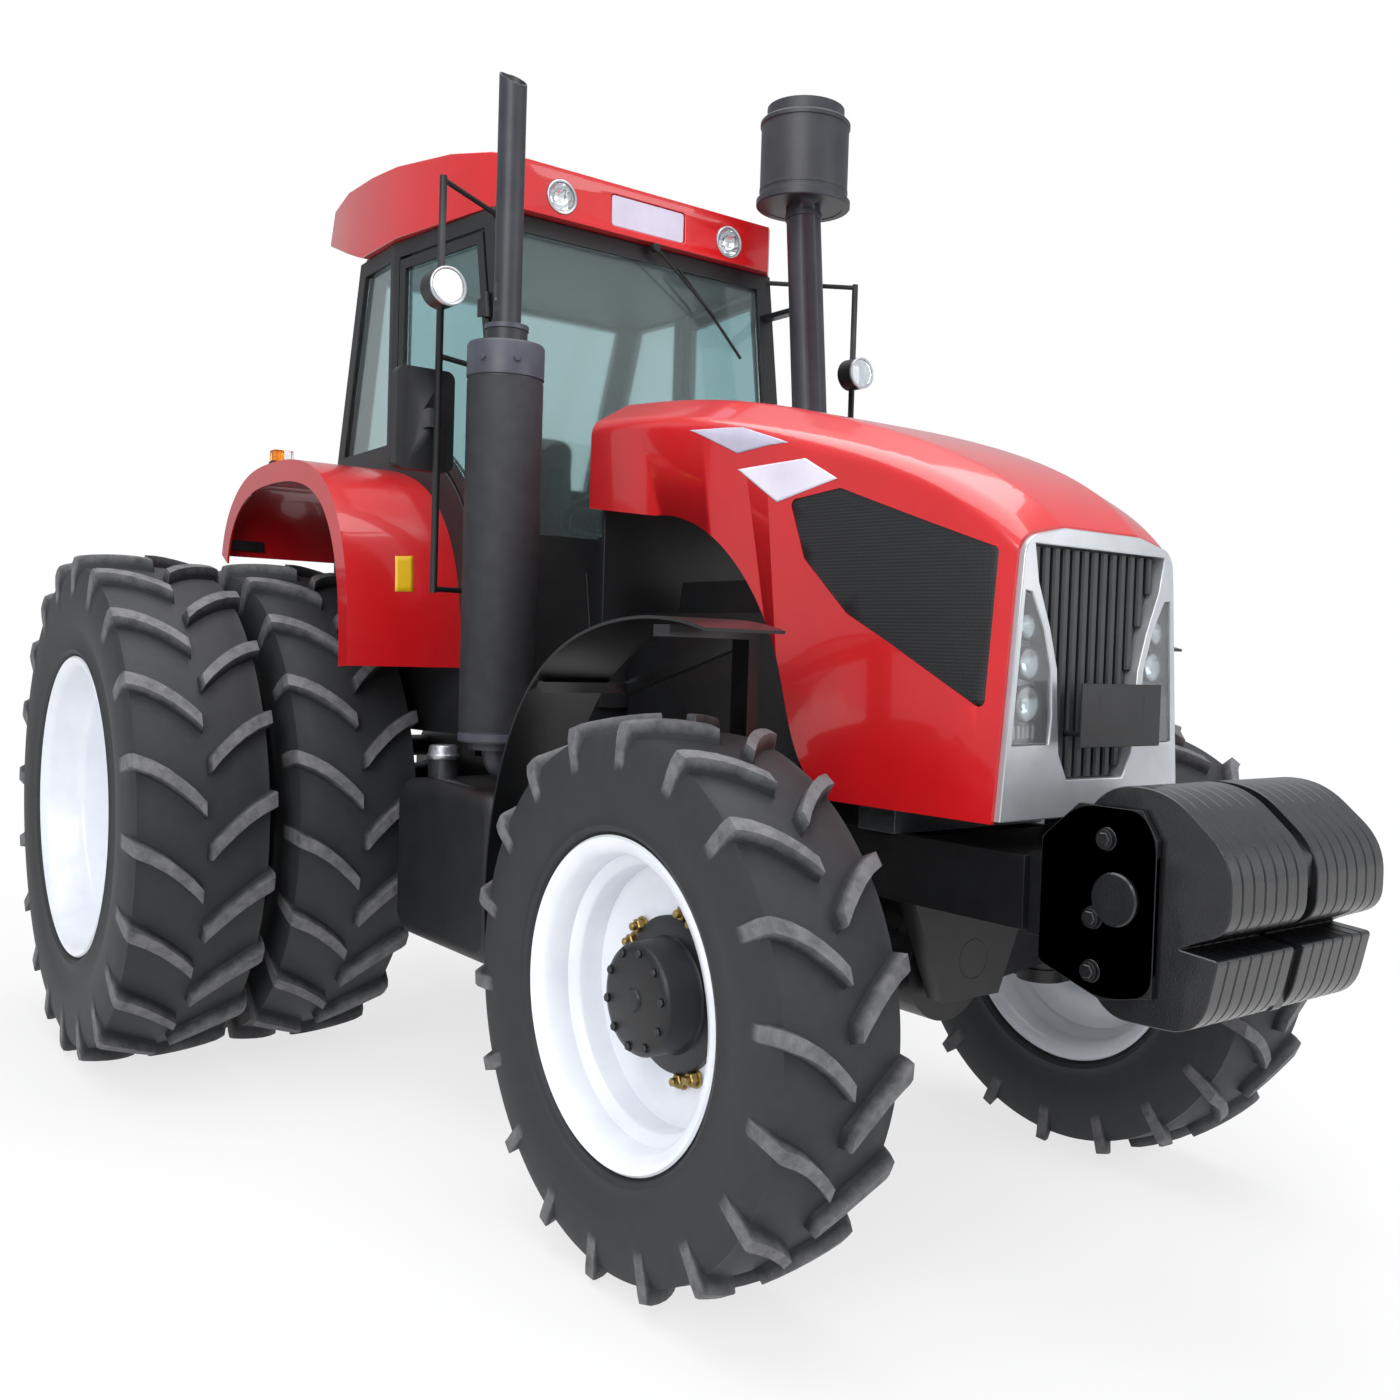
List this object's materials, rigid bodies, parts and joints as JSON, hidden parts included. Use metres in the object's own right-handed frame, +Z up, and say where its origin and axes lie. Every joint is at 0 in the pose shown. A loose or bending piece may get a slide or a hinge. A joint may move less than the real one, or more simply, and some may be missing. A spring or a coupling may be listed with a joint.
{
  "type": "farm tractor",
  "caption": "Four-wheel-drive farm tractor with twin rear wheels, an enclosed cab, side stacks, front weights and a rear three-point linkage.",
  "frame": {"origin": "on the ground below the middle of the tractor's overall box", "axes": "+X points forward along the tractor, +Y to its left, +Z up"},
  "size_m": [5.1399, 3.397, 3.6595],
  "materials": {
    "red_paint": "gloss sheet-metal paint",
    "silver_paint": "silver plastic-metal paint",
    "black_casting": "satin paint over castings",
    "weight_paint": "gloss paint over cast iron",
    "white_paint": "gloss wheel paint",
    "black_paint": "satin black paint",
    "exhaust_black": "matt heat-resistant paint",
    "black_plastic": "grained",
    "black_mesh": "perforated sheet, black",
    "radiator_metal": "finned core",
    "bare_steel": "machined",
    "tyre_rubber": "matt",
    "seat_fabric": "woven",
    "lamp_glass": "clear lens",
    "window_glass": "tinted pane"
  },
  "bodies": {
    "root": {"rear_axle_housing": "black_casting", "transmission_case": "black_casting", "engine_block": "black_casting", "front_frame": "black_casting", "front_axle": "black_casting", "radiator": "radiator_metal", "front_weights": "weight_paint", "cab_frame": "black_paint", "cab_glass": "window_glass", "cab_roof": "red_paint", "lamps": "lamp_glass", "cab_consoles": "black_plastic", "seat_base": "black_plastic", "seat_cushion": "seat_fabric", "seat_backrest": "seat_fabric", "rear_fender_left": "red_paint", "rear_fender_right": "red_paint", "fuel_tank": "black_plastic", "steps_and_battery_box": "black_paint", "exhaust_stack": "exhaust_black", "intake_stack": "black_plastic", "mirrors": "black_plastic"},
    "hood": {"hood": "red_paint", "grille_surround": "silver_paint", "grille": "black_mesh", "headlights": "lamp_glass"},
    "door_left": {"door_left": "black_paint", "door_glass_left": "window_glass"},
    "door_right": {"door_right": "black_paint", "door_glass_right": "window_glass"},
    "knuckle_left": {"knuckle_left": "black_casting", "front_fender_left": "black_plastic"},
    "knuckle_right": {"knuckle_right": "black_casting", "front_fender_right": "black_plastic"},
    "tie_rod": {"tie_rod": "bare_steel"},
    "front_wheel_left": {"front_tyre_left": "tyre_rubber", "front_rim_left": "white_paint"},
    "front_wheel_right": {"front_tyre_right": "tyre_rubber", "front_rim_right": "white_paint"},
    "rear_wheels_left": {"rear_tyres_left": "tyre_rubber", "rear_rims_left": "white_paint"},
    "rear_wheels_right": {"rear_tyres_right": "tyre_rubber", "rear_rims_right": "white_paint"},
    "lower_links": {"lower_links": "black_paint"},
    "lift_arms": {"lift_arms": "black_casting"},
    "lift_rods": {"lift_rods": "bare_steel"}
  },
  "joints": [
    {"name": "steer_left", "type": "hinge", "parent": "root", "child": "knuckle_left", "pos_m": [1.35, 0.6, 0.71], "axis": [0, 0, 1], "range_deg": [-30, 30]},
    {"name": "steer_right", "type": "hinge", "parent": "root", "child": "knuckle_right", "pos_m": [1.35, -0.6, 0.71], "axis": [0, 0, 1], "range_deg": [-30, 30]},
    {"name": "tie_rod_eye", "type": "hinge", "parent": "knuckle_left", "child": "tie_rod", "pos_m": [1.12, 0.6, 0.54], "axis": [0, 0, 1], "range_deg": [-30, 30]},
    {"name": "roll_front_left", "type": "hinge", "parent": "knuckle_left", "child": "front_wheel_left", "pos_m": [1.35, 0.86, 0.71], "axis": [0, 1, 0], "continuous": true},
    {"name": "roll_front_right", "type": "hinge", "parent": "knuckle_right", "child": "front_wheel_right", "pos_m": [1.35, -0.86, 0.71], "axis": [0, 1, 0], "continuous": true},
    {"name": "roll_rear_left", "type": "hinge", "parent": "root", "child": "rear_wheels_left", "pos_m": [-1.3, 1.2, 0.935], "axis": [0, 1, 0], "continuous": true},
    {"name": "roll_rear_right", "type": "hinge", "parent": "root", "child": "rear_wheels_right", "pos_m": [-1.3, -1.2, 0.935], "axis": [0, 1, 0], "continuous": true},
    {"name": "hood_hinge", "type": "hinge", "parent": "root", "child": "hood", "pos_m": [0.19, 0, 2.33], "axis": [0, -1, 0], "range_deg": [0, 50]},
    {"name": "door_left_hinge", "type": "hinge", "parent": "root", "child": "door_left", "pos_m": [-0.08333, 0.62063, 2.2], "axis": [0.1644, -0.018, -0.9862], "range_deg": [0, 70]},
    {"name": "door_right_hinge", "type": "hinge", "parent": "root", "child": "door_right", "pos_m": [-0.08333, -0.62063, 2.2], "axis": [-0.1644, -0.018, 0.9862], "range_deg": [0, 70]},
    {"name": "lower_link_lift", "type": "hinge", "parent": "root", "child": "lower_links", "pos_m": [-1.6, 0, 0.62], "axis": [0, 1, 0], "range_deg": [-18, 25]},
    {"name": "lift_arm_shaft", "type": "hinge", "parent": "root", "child": "lift_arms", "pos_m": [-1.5, 0, 1.12], "axis": [0, 1, 0], "range_deg": [-18, 25]},
    {"name": "lift_rod_eye", "type": "hinge", "parent": "lower_links", "child": "lift_rods", "pos_m": [-1.98, 0, 0.62], "axis": [0, 1, 0], "range_deg": [-25, 18]}
  ],
  "couplings": [
    {"joint": "steer_right", "follows": "steer_left", "ratio": 1},
    {"joint": "tie_rod_eye", "follows": "steer_left", "ratio": -1},
    {"joint": "lift_arm_shaft", "follows": "lower_link_lift", "ratio": 1},
    {"joint": "lift_rod_eye", "follows": "lower_link_lift", "ratio": -1}
  ]
}
